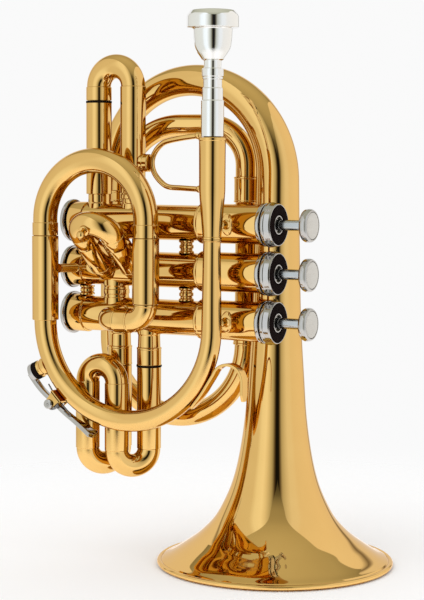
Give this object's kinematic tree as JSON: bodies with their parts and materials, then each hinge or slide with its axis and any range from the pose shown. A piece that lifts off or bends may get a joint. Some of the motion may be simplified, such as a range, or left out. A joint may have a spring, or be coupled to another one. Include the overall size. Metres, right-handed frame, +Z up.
{
  "type": "pocket trumpet",
  "caption": "Compact brass trumpet with a tightly wrapped tube, piston valves, tuning slides, water key and mouthpiece, standing on its bell rim.",
  "frame": {"origin": "under the middle of the whole instrument, in the plane of the bell rim it stands on", "axes": "+Z up, from the bell rim to the mouthpiece; +X along the valves, from the bottom caps to the finger buttons; +Y from the leadpipe side to the bell side"},
  "size_m": [0.1894, 0.1422, 0.2956],
  "materials": {
    "lacquered_brass": "polished, clear gold lacquer",
    "nickel_plate": "bright nickel plate",
    "monel": "lapped nickel alloy",
    "silver_plate": "polished silver plate",
    "pearl": "pale grey mother-of-pearl look",
    "felt": "black pressed felt",
    "cork": "dark cork",
    "spring_steel": "bright wire",
    "guide_plastic": "moulded"
  },
  "bodies": {
    "horn": {"valve_casing_1": "lacquered_brass", "bottom_cap_1": "nickel_plate", "top_cap_1": "nickel_plate", "top_felt_1": "felt", "valve_guide_1": "guide_plastic", "piston_spring_1": "spring_steel", "valve_casing_2": "lacquered_brass", "bottom_cap_2": "nickel_plate", "top_cap_2": "nickel_plate", "top_felt_2": "felt", "valve_guide_2": "guide_plastic", "piston_spring_2": "spring_steel", "valve_casing_3": "lacquered_brass", "bottom_cap_3": "nickel_plate", "top_cap_3": "nickel_plate", "top_felt_3": "felt", "valve_guide_3": "guide_plastic", "piston_spring_3": "spring_steel", "knuckle_12": "lacquered_brass", "knuckle_23": "lacquered_brass", "bell": "lacquered_brass", "outlet_elbow": "lacquered_brass", "wrap_upper_crook": "lacquered_brass", "wrap_down_tube": "lacquered_brass", "wrap_lower_bow": "lacquered_brass", "mouthpiece_receiver": "lacquered_brass", "leadpipe": "lacquered_brass", "main_sleeve_left": "lacquered_brass", "main_sleeve_right": "lacquered_brass", "inlet_elbow": "lacquered_brass", "first_outer_tube": "lacquered_brass", "first_inner_tube": "lacquered_brass", "second_port_left": "lacquered_brass", "second_port_right": "lacquered_brass", "third_port_right": "lacquered_brass", "third_port_left": "lacquered_brass", "leadpipe_brace_1": "lacquered_brass", "leadpipe_brace_3": "lacquered_brass", "bell_brace": "lacquered_brass", "finger_hook": "lacquered_brass", "water_key_saddle": "lacquered_brass", "water_key_screw": "nickel_plate", "water_key_spring": "spring_steel"},
    "piston_group_1": {"piston_1": "monel", "finger_button_1": "nickel_plate", "button_pearl_1": "pearl"},
    "piston_group_2": {"piston_2": "monel", "finger_button_2": "nickel_plate", "button_pearl_2": "pearl"},
    "piston_group_3": {"piston_3": "monel", "finger_button_3": "nickel_plate", "button_pearl_3": "pearl"},
    "main_slide_group": {"main_slide": "lacquered_brass"},
    "first_slide_group": {"first_slide": "lacquered_brass", "thumb_saddle": "lacquered_brass"},
    "second_slide_group": {"second_slide": "lacquered_brass"},
    "third_slide_group": {"third_slide": "lacquered_brass"},
    "water_key_group": {"water_key_lever": "nickel_plate", "water_key_cork": "cork"},
    "mouthpiece_group": {"mouthpiece": "silver_plate"}
  },
  "joints": [
    {"name": "valve_1", "type": "slide", "parent": "horn", "child": "piston_group_1", "axis": [-1, 0, 0], "range_m": [0, 0.0128], "stiffness_N_per_m": 90, "springref_m": -0.02, "deforming": ["piston_spring_1"]},
    {"name": "valve_2", "type": "slide", "parent": "horn", "child": "piston_group_2", "axis": [-1, 0, 0], "range_m": [0, 0.0128], "stiffness_N_per_m": 90, "springref_m": -0.02, "deforming": ["piston_spring_2"]},
    {"name": "valve_3", "type": "slide", "parent": "horn", "child": "piston_group_3", "axis": [-1, 0, 0], "range_m": [0, 0.0128], "stiffness_N_per_m": 90, "springref_m": -0.02, "deforming": ["piston_spring_3"]},
    {"name": "main_tuning_slide", "type": "slide", "parent": "horn", "child": "main_slide_group", "axis": [0, 0, 1], "range_m": [0, 0.025]},
    {"name": "first_valve_slide", "type": "slide", "parent": "horn", "child": "first_slide_group", "axis": [0, 0, 1], "range_m": [0, 0.03]},
    {"name": "second_valve_slide", "type": "slide", "parent": "horn", "child": "second_slide_group", "axis": [0, -0.749, 0.6626], "range_m": [0, 0.01]},
    {"name": "third_valve_slide", "type": "slide", "parent": "horn", "child": "third_slide_group", "axis": [0, 0, -1], "range_m": [0, 0.014]},
    {"name": "water_key", "type": "hinge", "parent": "horn", "child": "water_key_group", "pos_m": [-0.07682, -0.04795, 0.08718], "axis": [0, -1, 0], "range_deg": [0, 9], "stiffness_Nm_per_rad": 0.06, "springref_deg": -11.46, "deforming": ["water_key_spring"]},
    {"name": "mouthpiece_seat", "type": "slide", "parent": "horn", "child": "mouthpiece_group", "axis": [0, 0, 1], "range_m": [0, 0.025]}
  ]
}
